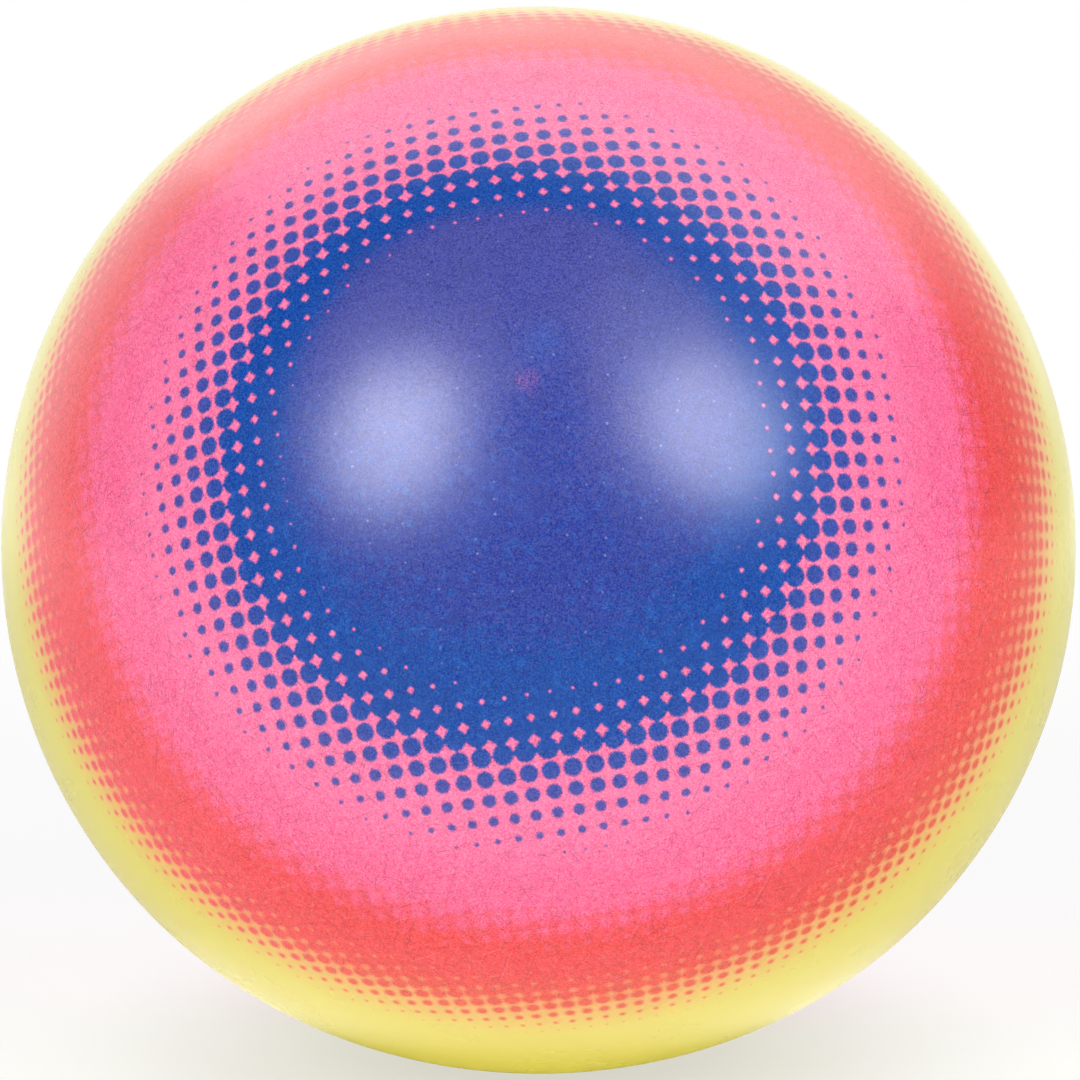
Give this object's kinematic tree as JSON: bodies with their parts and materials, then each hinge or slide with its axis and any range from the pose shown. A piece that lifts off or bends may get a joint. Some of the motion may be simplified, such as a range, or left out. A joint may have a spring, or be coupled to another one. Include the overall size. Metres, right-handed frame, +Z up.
{
  "type": "toy ball",
  "caption": "Inflated play ball: thin moulded skin with a flat foot, valve seat and push-in plug, printed with halftone rings of blue, pink, red and yellow.",
  "frame": {"origin": "middle of the flat foot that the ball rests on", "axes": "+Z up; the middle of the printed front faces -Y and 17 degrees up; the valve leans back from +Z towards +Y by the same angle"},
  "size_m": [0.2308, 0.2308, 0.2283],
  "materials": {
    "printed_skin": "satin",
    "valve_seat": "satin",
    "valve_stopper": "satin"
  },
  "bodies": {
    "ball": {"ball_shell": "printed_skin", "valve_body": "valve_seat"},
    "plug": {"valve_plug": "valve_stopper"}
  },
  "joints": [
    {"name": "plug_pull", "type": "slide", "parent": "ball", "child": "plug", "axis": [0, 0.2924, 0.9563], "range_m": [0, 0.022]}
  ]
}
